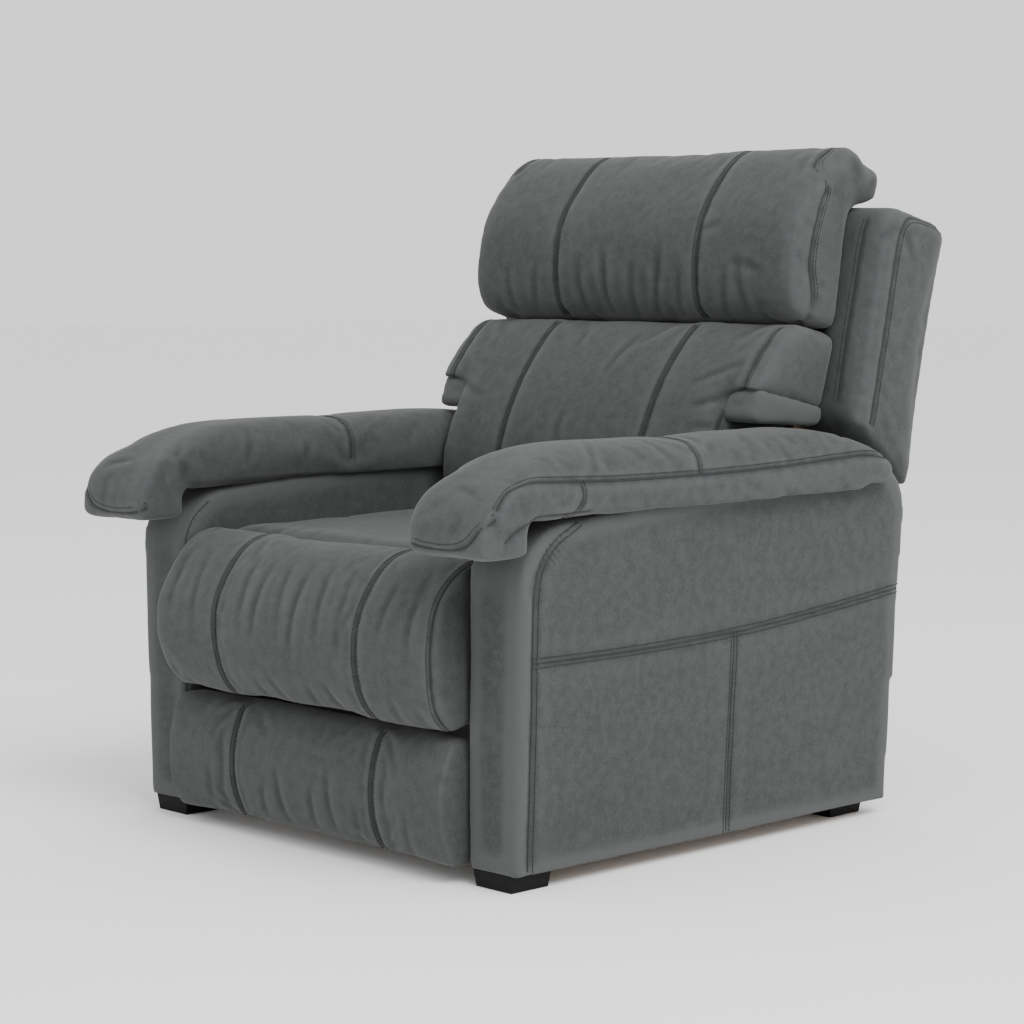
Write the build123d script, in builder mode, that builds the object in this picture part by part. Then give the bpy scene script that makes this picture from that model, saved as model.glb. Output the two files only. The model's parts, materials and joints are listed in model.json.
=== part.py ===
"""Recliner armchair, built as an assembly of separate pieces.

Millimetres, +Z up, +X towards the sitter's left, the front faces -Y.
The arm boxes are centred on x = 0 and on the working y = 0; each piece is moved by
origin_shift when it is written, so that the origin is under the middle of the whole chair.
"""
from build123d import *
import os
from math import atan2, cos, degrees, hypot, radians, sin, tan

os.makedirs("parts", exist_ok=True)

# ---------------------------------------------------------------- driving dimensions
foot_height = 24.0
foot_size = 76.0
foot_taper = 6.0
front_foot_inset = 10.0        # from the arm's outer and front faces
rear_foot_inset_side = 33.0
rear_foot_inset_back = 16.0

arm_inner = 319.0              # half the width between the arms
arm_width = 95.0               # at the bottom
arm_flare = 15.0               # how far the outer face leans out at the top
arm_front = 409.0              # front face, ahead of the middle
arm_rear_bottom = 397.0
arm_rear_top = 424.0
arm_front_height = 499.0       # top line at the front face
arm_rear_height = 569.0        # top line at the rear face
arm_front_radius = 88.0
arm_rear_radius = 88.0
cover_thickness = 12.0         # foam and fabric on the arm boxes
board = 18.0                   # plywood
arm_rail_height = 40.0

pad_inner = arm_inner - 19
pad_outer = arm_inner + 137
pad_top = 611.0
pad_skirt = 512.0              # lower edge along the outer side
pad_nose = 509.0               # furthest point ahead of the middle
pad_nose_drop = 464.0
pad_rear = 366.0
pad_side_radius = 46.0

seat_half_width = arm_inner - 3
seat_top = 452.0
seat_cushion_thickness = 102.0
seat_rear = 92.0
roll_front = 480.0
roll_bottom = 207.0
roll_rear = 340.0
front_board_front = 372.0
front_board_bottom = 225.0
front_board_top = 424.0
side_rail_height = 50.0
spring_wire = 1.9
seat_spring_count = 5

footrest_half_width = arm_inner - 4
footrest_bottom = 22.0
footrest_top = 202.0
footrest_board_rear = 368.0
footrest_board_thickness = 16.0
footrest_pad_front = 448.0
footrest_pad_edge = 420.0
footrest_board_margin = 12.0

plate = 4.0                    # steel links and side plates
plate_gap = 1.2                # between neighbouring link planes
link_half_width = 9.0
pin_radius = 4.0
head_radius = 7.0
head_height = 1.0
running_clearance = 0.05
open_pivot_clearance = 1.3     # at the two pivots where the linkage is opened
drive_shaft_radius = 9.0
drive_stub_radius = 6.0

bearing_half = 18.0             # half height of a shaft bearing round the shaft
bearing_low = 232.0             # foot of its flange on the seat's front board
bearing_height = 60.0
bearing_flange = 26.0

back_hinge = (150.0, 350.0)    # y, z
back_lean = 12.7               # degrees from vertical, at rest
back_frame_front = 110.0       # measured behind the hinge, square to the back
back_frame_rear = 200.0
back_rear = 262.0
back_frame_top = 612.0         # measured up the back from the hinge level
back_frame_bottom = -20.0
back_panel = 12.0
wing_front = 106.0
wing_outer = arm_inner + 95
wing_top = 640.0
back_corner = 20.0
wing_low_front = 294.0
wing_low_rear = 222.0
cushion_rear = 105.5
cushion_half_width = arm_inner + 37
lumbar_low_half_width = arm_inner - 25
lumbar_bottom = 106.0
lumbar_top = 432.0
lumbar_wide_from = 307.0
head_bottom = 433.0
back_hinge_pin_radius = 6.0

handle_y = -150.0
handle_z = 330.0
handle_length = 120.0
handle_height = 66.0
handle_depth = 26.0
handle_corner = 12.0
handle_wall = 2.5
handle_flange = 9.0
handle_pin_radius = 2.5
cable_radius = 2.5
cable_hole_radius = 14.0
soft_gap = 0.3                 # between a soft piece and what it lies against

# footrest linkage: pivots at rest, as (distance ahead of the middle, height)
drive_pivot = (251.6, 209.2)
guide_pivot = (245.0, 231.2)
elbow_pivot = (139.4, 78.3)
coupler_lug = (137.0, 115.1)
crank_lug = (115.0, 95.6)
footrest_pivot = (352.0, 112.0)
bracket_lug = (290.5, 134.5)

# ---------------------------------------------------------------- derived values
arm_outer = arm_inner + arm_width
lean = radians(back_lean)
flare_angle = atan2(arm_flare, arm_front_height - foot_height)
rail_inner = arm_inner - 23.0
plate_outer_x = rail_inner


def plane_x(number):
    """Inner face of a link plane: 0 is the side plate, and each next one lies further in."""
    return plate_outer_x - plate - number * (plate + plate_gap)


def on_back(behind, up):
    """Working y and z of a point given behind and up the leaning back."""
    y = back_hinge[0] + behind * cos(lean) + up * sin(lean)
    z = back_hinge[1] - behind * sin(lean) + up * cos(lean)
    return (y, z)


def outer_face(z):
    """Distance of the arm's outer face from the middle at a height."""
    return arm_outer + (z - foot_height) * tan(flare_angle)


plate_inner_x = plane_x(0)
rear_most = on_back(back_rear, wing_top - back_corner)[0]
origin_shift = (pad_nose - rear_most) / 2


def write(part, name):
    """Move a finished piece to the chair's origin, name it and export it."""
    placed = Pos(0, origin_shift, 0) * part
    placed.label = name
    export_step(placed, f"parts/{name}.step")


def write_pair(part, name):
    """Write a piece made on the sitter's left and its mirror image on the right."""
    write(part, f"left_{name}")
    write(mirror(part, about=Plane.YZ), f"right_{name}")


def both_sides(part):
    """A group that holds a solid and its mirror image."""
    return Compound(list(part.solids()) + list(mirror(part, about=Plane.YZ).solids()))


def link_points(*pivots):
    """Pivots as (y, z) on the side planes."""
    return [(-ahead, height) for ahead, height in pivots]


# ---------------------------------------------------------------- arm boxes
def arm_outline(inset, bottom):
    """Side outline of an arm box, inset all round and open at a given bottom height."""
    front = -arm_front + inset
    slope = (arm_rear_height - arm_front_height) / (arm_rear_top + arm_front)
    rear_slope = (arm_rear_top - arm_rear_bottom) / (arm_rear_height - foot_height)
    rear_low = arm_rear_bottom - inset + (bottom - foot_height) * rear_slope
    rear_high = arm_rear_top - inset
    with BuildSketch(Plane.YZ) as outline:
        with BuildLine():
            Polyline(
                (front, bottom),
                (front, arm_front_height - inset + inset * slope),
                (rear_high, arm_rear_height - inset - inset * slope),
                (rear_low, bottom),
                close=True,
            )
        make_face()
        corners = outline.vertices().sort_by(Axis.Y)[-2:].sort_by(Axis.X)
        fillet(corners[0], arm_front_radius - inset)
        corners = outline.vertices().sort_by(Axis.X)[-2:].sort_by(Axis.Y)
        fillet(corners[-1], arm_rear_radius - inset)
    return outline.sketch_local


def arm_block(inset, bottom):
    """Solid arm box on the left: flat inner side, outer side leaning out."""
    lean_plane = Plane(
        origin=(arm_outer - inset / cos(flare_angle), 0, foot_height),
        x_dir=(0, 1, 0),
        z_dir=(cos(flare_angle), 0, -sin(flare_angle)),
    )
    with BuildPart() as block:
        with BuildSketch(Plane.YZ.offset(arm_inner + inset)):
            add(arm_outline(inset, bottom))
        extrude(amount=arm_width + 2 * arm_flare)
        split(bisect_by=lean_plane, keep=Keep.BOTTOM)
    return block.part


arm_body = arm_block(0, foot_height)
arm_cavity = arm_block(cover_thickness, foot_height - 5)
cable_pass = (-65.0, 260.0)

with BuildPart() as arm_cover:
    add(arm_body)
    add(arm_cavity, mode=Mode.SUBTRACT)
write(arm_cover.part, "left_arm_cover")

handle_plane = Plane(
    origin=(-outer_face(handle_z), handle_y, handle_z),
    x_dir=(0, -1, 0),
    z_dir=(-cos(flare_angle), 0, -sin(flare_angle)),
)
with BuildPart() as right_arm_cover:
    add(mirror(arm_cover.part, about=Plane.YZ))
    with BuildSketch(handle_plane):
        RectangleRounded(handle_length, handle_height, handle_corner)
    extrude(amount=-handle_depth, mode=Mode.SUBTRACT)
    with BuildSketch(Plane.YZ.offset(-arm_inner - cover_thickness)):
        with Locations(cable_pass):
            Circle(cable_hole_radius)
    extrude(amount=cover_thickness, mode=Mode.SUBTRACT)
write(right_arm_cover.part, "right_arm_cover")

inner_x = arm_inner + cover_thickness
box_outer_x = arm_outer - cover_thickness / cos(flare_angle)
rail_top = foot_height + arm_rail_height

with BuildPart() as arm_inner_panel:
    with BuildSketch(Plane.YZ.offset(inner_x)):
        add(arm_outline(cover_thickness, rail_top))
    extrude(amount=board)
write(arm_inner_panel.part, "left_arm_inner_panel")
with BuildPart() as right_inner_panel:
    add(mirror(arm_inner_panel.part, about=Plane.YZ))
    with BuildSketch(Plane.YZ.offset(-inner_x - board)):
        with Locations(cable_pass):
            Circle(cable_hole_radius)
    extrude(amount=board, mode=Mode.SUBTRACT)
write(right_inner_panel.part, "right_arm_inner_panel")

foot_bolt_radius = 4.0
foot_bolt_head = 8.0
foot_bolt_reach = 30.0
feet_places = {
    "front": (
        arm_outer - front_foot_inset - foot_size / 2,
        -arm_front + front_foot_inset + foot_size / 2 - 5.0,
    ),
    "rear": (
        arm_outer - rear_foot_inset_side - foot_size / 2,
        arm_rear_bottom - rear_foot_inset_back - foot_size / 2,
    ),
}
with BuildPart() as arm_base_rail:
    with BuildSketch(Plane.XY.offset(foot_height)):
        front_edge = -arm_front + cover_thickness
        rear_edge = arm_rear_bottom - cover_thickness
        with Locations(((inner_x + box_outer_x) / 2, (front_edge + rear_edge) / 2)):
            Rectangle(box_outer_x - inner_x, rear_edge - front_edge)
        with Locations(*feet_places.values()):
            Circle(foot_bolt_radius, mode=Mode.SUBTRACT)
    extrude(amount=arm_rail_height)
write_pair(arm_base_rail.part, "arm_base_rail")

with BuildPart() as arm_front_board:
    with BuildSketch(Plane.XZ.offset(arm_front - cover_thickness - board)):
        with Locations(((inner_x + board + box_outer_x) / 2, (rail_top + arm_front_height - arm_front_radius) / 2)):
            Rectangle(box_outer_x - inner_x - board, arm_front_height - arm_front_radius - rail_top)
    extrude(amount=board)
write_pair(arm_front_board.part, "arm_front_board")

rear_board_y = arm_rear_bottom - cover_thickness
with BuildPart() as arm_rear_board:
    with BuildSketch(Plane.XZ.offset(-rear_board_y)):
        with Locations(((inner_x + board + box_outer_x) / 2, (rail_top + arm_rear_height - arm_rear_radius) / 2)):
            Rectangle(box_outer_x - inner_x - board, arm_rear_height - arm_rear_radius - rail_top)
    extrude(amount=board)
write_pair(arm_rear_board.part, "arm_rear_board")

# ---------------------------------------------------------------- feet and their bolts
for end, (foot_x, foot_y) in feet_places.items():
    with BuildPart() as foot:
        with BuildSketch(Plane.XY):
            with Locations((foot_x, foot_y)):
                Rectangle(foot_size - foot_taper, foot_size - foot_taper)
        with BuildSketch(Plane.XY.offset(foot_height)):
            with Locations((foot_x, foot_y)):
                Rectangle(foot_size, foot_size)
        loft()
        with BuildSketch(Plane.XY):
            with Locations((foot_x, foot_y)):
                Circle(foot_bolt_head + 1)
        extrude(amount=foot_bolt_head, mode=Mode.SUBTRACT)
        with BuildSketch(Plane.XY):
            with Locations((foot_x, foot_y)):
                Circle(foot_bolt_radius)
        extrude(amount=foot_height, mode=Mode.SUBTRACT)
    write(foot.part, f"{end}_left_foot")
    write(mirror(foot.part, about=Plane.YZ), f"{end}_right_foot")

with BuildPart() as foot_bolt:
    for place in feet_places.values():
        with BuildSketch(Plane.XY.offset(foot_bolt_head / 2)):
            with Locations(place):
                RegularPolygon(foot_bolt_head, 6)
        extrude(amount=foot_bolt_head / 2)
        with BuildSketch(Plane.XY.offset(foot_bolt_head)):
            with Locations(place):
                Circle(foot_bolt_radius)
        extrude(amount=foot_height - foot_bolt_head + foot_bolt_reach)
write(both_sides(foot_bolt.part), "foot_bolts")

# ---------------------------------------------------------------- arm pads
with BuildPart() as arm_pad:
    with BuildSketch(Plane.YZ.offset(pad_inner)) as pad_side:
        with BuildLine():
            top_line = Line((-300, pad_top), (160, pad_top))
            nose = Spline(top_line @ 0, (-430, pad_top - 34), (-pad_nose, 482), tangents=[(-1, 0), (0, -1)])
            lip = Spline(nose @ 1, (-492, pad_nose_drop), tangents=[(0, -1), (1, 0)])
            tail = Spline(top_line @ 1, (285, pad_top - 19), (338, pad_top - 36), (pad_rear, 542), tangents=[(1, 0), (0, -1)])
            Line(lip @ 1, (-arm_front - 4, pad_nose_drop))
            Line((-arm_front - 4, pad_nose_drop), (-arm_front - 4, pad_skirt))
            Line((-arm_front - 4, pad_skirt), (250, pad_skirt))
            Spline((250, pad_skirt), (330, pad_skirt + 8), tail @ 1, tangents=[(1, 0), (0, 1)])
        make_face()
    extrude(amount=pad_outer - pad_inner)
    with BuildSketch(Plane.XZ.offset(-pad_rear - 10)):
        with Locations(((pad_inner + pad_outer) / 2, (pad_top + pad_nose_drop - 60) / 2)):
            RectangleRounded(pad_outer - pad_inner, pad_top - pad_nose_drop + 60, pad_side_radius)
    extrude(amount=pad_nose + pad_rear + 20, mode=Mode.INTERSECT)
    add(arm_body, mode=Mode.SUBTRACT)
write_pair(arm_pad.part, "arm_pad")

# ---------------------------------------------------------------- seat
rail_bottom = seat_top - seat_cushion_thickness - side_rail_height
rail_level = rail_bottom + side_rail_height
front_board_rear = front_board_front - board
bolt_level = rail_bottom + side_rail_height / 2
bolt_places = [(-300.0, bolt_level), (-90.0, bolt_level), (40.0, bolt_level)]
bolt_radius = 4.0

with BuildPart() as seat_side_rail:
    with BuildSketch(Plane.YZ.offset(rail_inner)):
        with Locations(((seat_rear - front_board_rear) / 2, bolt_level)):
            Rectangle(seat_rear + front_board_rear, side_rail_height)
        with Locations(*bolt_places):
            Circle(bolt_radius, mode=Mode.SUBTRACT)
    extrude(amount=arm_inner - rail_inner)
write_pair(seat_side_rail.part, "seat_side_rail")

with BuildPart() as seat_front_board:
    with BuildSketch(Plane.XZ.offset(front_board_rear)):
        with Locations((0, (front_board_bottom + front_board_top) / 2)):
            Rectangle(2 * arm_inner, front_board_top - front_board_bottom)
    extrude(amount=board)
seat_front_board.part.label = "seat_front_board"
write(seat_front_board.part, "seat_front_board")

with BuildPart() as seat_rear_rail:
    with BuildSketch(Plane.XZ.offset(-seat_rear)):
        with Locations((0, rail_bottom + side_rail_height / 2)):
            Rectangle(2 * plate_inner_x, side_rail_height)
    extrude(amount=board + 4)
write(seat_rear_rail.part, "seat_rear_rail")

with BuildPart() as rear_cross_rail:
    with BuildSketch(Plane.XZ.offset(-325)):
        with Locations((0, 80)):
            Rectangle(2 * arm_inner, 80)
    extrude(amount=board + 4)
write(rear_cross_rail.part, "rear_cross_rail")


def sinuous_points(start, end, half_wave, bends):
    """Corner points of a no-sag spring, as (along, across), with straight ends."""
    pitch = (end - start) / (bends + 1)
    points = [(start, 0), (start + pitch * 0.4, 0)]
    for bend in range(bends):
        along = start + pitch * (bend + 0.8)
        side = half_wave if bend % 2 else -half_wave
        points += [(along, side), (along + pitch * 0.62, side)]
    points += [(end - pitch * 0.4, 0), (end, 0)]
    return points


def sinuous_wire(points, to_space, wire):
    """Sweep a round wire along the rounded zigzag."""
    path = FilletPolyline(*[to_space(along, across) for along, across in points], radius=5.5)
    with BuildPart() as spring:
        with BuildLine():
            add(path)
        with BuildSketch(Plane(origin=path @ 0, z_dir=path % 0)):
            Circle(wire)
        sweep()
    return spring.part


seat_spring_z = rail_level - soft_gap - spring_wire
seat_springs = []
for number in range(seat_spring_count):
    spring_x = (number - (seat_spring_count - 1) / 2) * 2 * rail_inner / seat_spring_count
    zigzag = sinuous_points(-front_board_rear, seat_rear - board - 4, 22.0, 13)
    seat_springs.append(
        sinuous_wire(zigzag, lambda along, across: (spring_x + across, along, seat_spring_z), spring_wire)
    )
write(Compound([spring.solid() for spring in seat_springs]), "seat_springs")

with BuildPart() as seat_cushion:
    cushion_front = -roll_rear + soft_gap
    with BuildSketch(Plane.XY.offset(rail_level)):
        with Locations((0, (cushion_front + seat_rear) / 2)):
            Rectangle(2 * seat_half_width, seat_rear - cushion_front)
    extrude(amount=seat_cushion_thickness)
    fillet(seat_cushion.faces().sort_by(Axis.Z)[-1].edges(), 18)
write(seat_cushion.part, "seat_cushion")

with BuildPart() as seat_front_roll:
    with BuildSketch(Plane.YZ.offset(-seat_half_width)):
        with BuildLine():
            crown = Spline(
                (-roll_rear, seat_top + 3), (-406, 445), (-456, 396), (-roll_front, 322), (-469, 258),
                (-430, roll_bottom), tangents=[(-1, 0), (1, -1)],
            )
            back_line = -front_board_front
            Polyline(
                crown @ 1, (back_line, roll_bottom + 11), (back_line, front_board_top),
                (-roll_rear, front_board_top), crown @ 0,
            )
        make_face()
    extrude(amount=2 * seat_half_width)
write(seat_front_roll.part, "seat_front_roll")

# ---------------------------------------------------------------- side plates and fixed pivots

def side_plate():
    """Steel plate under a seat rail, with a lobe for the guide link's pivot and one for the hinge."""
    lobe_y, lobe_z = link_points(guide_pivot)[0]
    with BuildPart() as steel:
        with BuildSketch(Plane.YZ.offset(plate_inner_x)) as shape:
            with BuildLine():
                Polyline(
                    (-330, rail_level - 6), (-330, rail_bottom - 6), (lobe_y - 24, lobe_z - 20),
                    (lobe_y + 28, lobe_z - 20), (lobe_y + 70, rail_bottom - 14), (110, rail_bottom - 14),
                    (back_hinge[0] + 16, back_hinge[1] - 18), (back_hinge[0] + 16, back_hinge[1] + 16),
                    (back_hinge[0] - 18, back_hinge[1] + 16), (seat_rear + 6, rail_level - 6), close=True,
                )
            make_face()
            fillet(shape.vertices(), 8)
            with Locations((lobe_y, lobe_z)):
                Circle(pin_radius, mode=Mode.SUBTRACT)
            with Locations(back_hinge):
                Circle(back_hinge_pin_radius, mode=Mode.SUBTRACT)
            with Locations(*bolt_places):
                Circle(bolt_radius, mode=Mode.SUBTRACT)
        extrude(amount=plate)
    return steel.part


left_plate = side_plate()
write(left_plate, "left_side_plate")
anchor_y, anchor_z = -30.0, rail_bottom - 14
with BuildPart() as right_side_plate:
    add(mirror(left_plate, about=Plane.YZ))
    with BuildSketch(Plane.YZ.offset(-plate_inner_x)):
        with Locations((anchor_y, anchor_z + 6)):
            Rectangle(16, 12)
    extrude(amount=22)
write(right_side_plate.part, "right_side_plate")

with BuildPart() as side_plate_bolt:
    for bolt_y, bolt_z in bolt_places:
        with BuildSketch(Plane.YZ.offset(plate_inner_x)):
            with Locations((bolt_y, bolt_z)):
                Circle(bolt_radius)
        extrude(amount=arm_inner - plate_inner_x)
        with BuildSketch(Plane.YZ.offset(plate_inner_x)):
            with Locations((bolt_y, bolt_z)):
                RegularPolygon(1.8 * bolt_radius, 6)
        extrude(amount=-0.8 * bolt_radius)
write(both_sides(side_plate_bolt.part), "side_plate_bolts")


def pin(pivot, outer_face_x, inner_face_x, radius=pin_radius):
    """Riveted pin across the link planes, with a thin head beyond each face."""
    place = link_points(pivot)[0]
    with BuildPart() as rivet:
        with BuildSketch(Plane.YZ.offset(inner_face_x - head_height)):
            with Locations(place):
                Circle(radius)
        extrude(amount=outer_face_x - inner_face_x + 2 * head_height)
        for face_x, amount in ((inner_face_x, -head_height), (outer_face_x, head_height)):
            with BuildSketch(Plane.YZ.offset(face_x)):
                with Locations(place):
                    Circle(head_radius)
            extrude(amount=amount)
    return rivet.part


with BuildPart() as guide_rivet:
    with BuildSketch(Plane.YZ.offset(plane_x(1) - head_height)):
        with Locations(*link_points(guide_pivot)):
            Circle(head_radius)
    extrude(amount=head_height)
    with BuildSketch(Plane.YZ.offset(plane_x(1))):
        with Locations(*link_points(guide_pivot)):
            Circle(pin_radius)
    extrude(amount=plate_outer_x - plane_x(1))
write(both_sides(guide_rivet.part), "guide_rivets")

hinge_head_radius = 10.0
hinge_head_gap = 0.2
with BuildPart() as back_hinge_pin:
    with BuildSketch(Plane.YZ.offset(plane_x(1) - hinge_head_gap)):
        with Locations(back_hinge):
            Circle(back_hinge_pin_radius)
    extrude(amount=plate_outer_x - plane_x(1) + hinge_head_gap)
    with BuildSketch(Plane.YZ.offset(plane_x(1) - hinge_head_gap)):
        with Locations(back_hinge):
            Circle(hinge_head_radius)
    extrude(amount=-2 * head_height)
write(both_sides(back_hinge_pin.part), "back_hinge_pins")


# ---------------------------------------------------------------- footrest linkage
def link(plane_number, bars, holes):
    """Flat steel link: one round-ended bar per pair of pivots, drilled at the pivots."""
    with BuildPart() as steel:
        with BuildSketch(Plane.YZ.offset(plane_x(plane_number))):
            for start, finish in bars:
                (y0, z0), (y1, z1) = link_points(start, finish)
                with Locations(((y0 + y1) / 2, (z0 + z1) / 2)):
                    SlotCenterToCenter(
                        hypot(y1 - y0, z1 - z0), 2 * link_half_width, rotation=degrees(atan2(z1 - z0, y1 - y0))
                    )
            for pivot, radius in holes:
                with Locations(*link_points(pivot)):
                    Circle(radius, mode=Mode.SUBTRACT)
        extrude(amount=plate)
    return steel.part


running_hole = pin_radius + running_clearance
open_hole = pin_radius + open_pivot_clearance

guide_link = link(1, [(guide_pivot, coupler_lug)], [(guide_pivot, running_hole), (coupler_lug, open_hole)])
write_pair(guide_link, "guide_link")

drive_link = link(
    3,
    [(drive_pivot, elbow_pivot), (elbow_pivot, crank_lug)],
    [(drive_pivot, drive_stub_radius), (elbow_pivot, running_hole), (crank_lug, pin_radius)],
)
write_pair(drive_link, "drive_link")

coupler_link = link(
    2,
    [(elbow_pivot, footrest_pivot), (elbow_pivot, coupler_lug)],
    [(elbow_pivot, pin_radius), (coupler_lug, pin_radius), (footrest_pivot, running_hole)],
)
write_pair(coupler_link, "coupler_link")

rest_link = link(5, [(crank_lug, bracket_lug)], [(crank_lug, running_hole), (bracket_lug, open_hole)])
write_pair(rest_link, "rest_link")

crank_pin = pin(crank_lug, plane_x(3) + plate, plane_x(5))
write(both_sides(crank_pin), "crank_pins")

elbow_pin = pin(elbow_pivot, plane_x(2) + plate, plane_x(3))
lug_pin = pin(coupler_lug, plane_x(1) + plate, plane_x(2))
write(both_sides(Compound([elbow_pin.solid(), lug_pin.solid()])), "coupler_pins")

with BuildPart() as drive_shaft:
    for half_length, radius in ((plane_x(3), drive_shaft_radius), (plane_x(3) + plate, drive_stub_radius)):
        with BuildSketch(Plane.YZ.offset(-half_length)):
            with Locations(*link_points(drive_pivot)):
                Circle(radius)
        extrude(amount=2 * half_length)
write(drive_shaft.part, "drive_shaft")

bearing_x = plane_x(6)
board_rear_y = -front_board_rear
with BuildPart() as shaft_bearing:
    with BuildSketch(Plane.YZ.offset(bearing_x)) as shape:
        (drive_y, drive_z), = link_points(drive_pivot)
        with BuildLine():
            Polyline(
                (board_rear_y, bearing_low), (drive_y, drive_z - bearing_half), (drive_y + bearing_half, drive_z),
                (drive_y, drive_z + bearing_half), (board_rear_y, bearing_low + bearing_height), close=True,
            )
        make_face()
        fillet(shape.vertices().sort_by(Axis.X)[-1], 12)
        with Locations((drive_y, drive_z)):
            Circle(drive_shaft_radius + running_clearance, mode=Mode.SUBTRACT)
    extrude(amount=plate)
    with BuildSketch(Plane.XZ.offset(front_board_rear - plate)):
        with Locations((bearing_x + plate - bearing_flange / 2, bearing_low + bearing_height / 2)):
            Rectangle(bearing_flange, bearing_height)
    extrude(amount=plate)
write(both_sides(shaft_bearing.part), "shaft_bearings")

# ---------------------------------------------------------------- footrest
bracket_x = plane_x(4)
bracket_flange = 20.0
bracket_height = 104.0
bracket_mid = (footrest_top + footrest_bottom) / 2
with BuildPart() as footrest_bracket:
    with BuildSketch(Plane.YZ.offset(bracket_x)):
        (y0, z0), (y1, z1) = link_points(footrest_pivot, bracket_lug)
        with Locations(((y0 + y1) / 2, (z0 + z1) / 2)):
            SlotCenterToCenter(
                hypot(y1 - y0, z1 - z0), 2 * link_half_width, rotation=degrees(atan2(z1 - z0, y1 - y0))
            )
        web_rear = footrest_pivot[0] - link_half_width
        with Locations((-(web_rear + footrest_board_rear) / 2, bracket_mid)):
            Rectangle(footrest_board_rear - web_rear, bracket_height)
        for pivot in (footrest_pivot, bracket_lug):
            with Locations(*link_points(pivot)):
                Circle(pin_radius, mode=Mode.SUBTRACT)
    extrude(amount=plate)
    with BuildSketch(Plane.XZ.offset(footrest_board_rear - plate)):
        with Locations((bracket_x + plate - bracket_flange / 2, bracket_mid)):
            Rectangle(bracket_flange, bracket_height)
    extrude(amount=plate)
write_pair(footrest_bracket.part, "footrest_bracket")

rest_pin = pin(footrest_pivot, plane_x(3) + plate, plane_x(4))
bracket_pin = pin(bracket_lug, plane_x(4) + plate, plane_x(5))
write(both_sides(Compound([rest_pin.solid(), bracket_pin.solid()])), "bracket_pins")

footrest_board_front = footrest_board_rear + footrest_board_thickness
board_half_width = footrest_half_width - footrest_board_margin
board_bottom = footrest_bottom + footrest_board_margin
board_height = footrest_top - footrest_bottom - 2 * footrest_board_margin
with BuildPart() as footrest_board:
    with BuildSketch(Plane.XZ.offset(footrest_board_rear)):
        with Locations((0, board_bottom + board_height / 2)):
            Rectangle(2 * board_half_width, board_height)
    extrude(amount=footrest_board_thickness)
write(footrest_board.part, "footrest_board")

with BuildPart() as footrest_pad:
    with BuildSketch(Plane.YZ.offset(-footrest_half_width)):
        with BuildLine():
            face = ThreePointArc(
                (-footrest_pad_edge, footrest_bottom),
                (-footrest_pad_front, bracket_mid),
                (-footrest_pad_edge, footrest_top),
            )
            Polyline(
                face @ 1, (-footrest_board_rear, footrest_top), (-footrest_board_rear, footrest_bottom), face @ 0
            )
        make_face()
    extrude(amount=2 * footrest_half_width)
    add(footrest_board.part, mode=Mode.SUBTRACT)
write(footrest_pad.part, "footrest_pad")


# ---------------------------------------------------------------- back
def back_plane(x):
    """Side plane of the leaning back: local x runs behind, local y runs up the back."""
    return Plane(origin=(x, *back_hinge), x_dir=(0, cos(lean), -sin(lean)), z_dir=(1, 0, 0))


frame_half = plane_x(1)
frame_mid = (back_frame_front + back_frame_rear) / 2
frame_shelf_heights = (back_frame_bottom + board / 2, 290.0, back_frame_top - board / 2)
with BuildPart() as back_frame:
    with BuildSketch(back_plane(-frame_half)):
        with Locations((back_frame_rear - back_panel / 2, (back_frame_bottom + back_frame_top) / 2)):
            Rectangle(back_panel, back_frame_top - back_frame_bottom)
        for height in frame_shelf_heights:
            with Locations((frame_mid, height)):
                Rectangle(back_frame_rear - back_frame_front, board)
    extrude(amount=2 * frame_half)
    for start in (-frame_half, frame_half - board):
        with BuildSketch(back_plane(start)):
            with Locations((frame_mid, (back_frame_bottom + back_frame_top) / 2)):
                Rectangle(back_frame_rear - back_frame_front, back_frame_top - back_frame_bottom)
        extrude(amount=board)
write(back_frame.part, "back_frame")

back_spring_heights = (110.0, 200.0, 380.0, 470.0)
back_springs = []
for height in back_spring_heights:
    zigzag = sinuous_points(-frame_half + board, frame_half - board, 22.0, 15)
    behind = back_frame_front + spring_wire + soft_gap
    back_springs.append(
        sinuous_wire(zigzag, lambda along, across: (along, *on_back(behind, height + across)), spring_wire)
    )
write(Compound([spring.solid() for spring in back_springs]), "back_springs")

with BuildPart() as back_bracket:
    with BuildSketch(back_plane(frame_half)) as shape:
        with BuildLine():
            Polyline(
                (-16, -16), (back_frame_rear - 20, -16), (back_frame_rear - 20, 150),
                (back_frame_front + 14, 150), (back_frame_front + 4, 50), (-16, 16), close=True,
            )
        make_face()
        fillet(shape.vertices(), 12)
        Circle(back_hinge_pin_radius + running_clearance, mode=Mode.SUBTRACT)
    extrude(amount=plate)
write_pair(back_bracket.part, "back_bracket")

with BuildPart() as wing:
    with BuildSketch(back_plane(frame_half + soft_gap)) as shape:
        with BuildLine():
            Polyline(
                (wing_front, wing_low_front), (back_rear, wing_low_rear), (back_rear, wing_top - back_corner),
                (back_rear - back_corner, wing_top), (wing_front + 18, wing_top), (wing_front, wing_top - 18), close=True,
            )
        make_face()
        fillet(shape.vertices().sort_by(Axis.Y)[-4:], 10)
    extrude(amount=wing_outer - frame_half - soft_gap)
    fillet(wing.faces().sort_by(Axis.X)[-1].edges(), 10)
write_pair(wing.part, "back_wing")

with BuildPart() as back_cover:
    with BuildSketch(back_plane(-frame_half)) as shape:
        with BuildLine():
            Polyline(
                (back_frame_rear, back_frame_bottom), (back_rear, back_frame_bottom), (back_rear, wing_top - back_corner),
                (back_rear - back_corner, wing_top), (wing_front, wing_top), (wing_front, back_frame_top),
                (back_frame_rear, back_frame_top), close=True,
            )
        make_face()
    extrude(amount=2 * frame_half)
write(back_cover.part, "back_cover")

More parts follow.
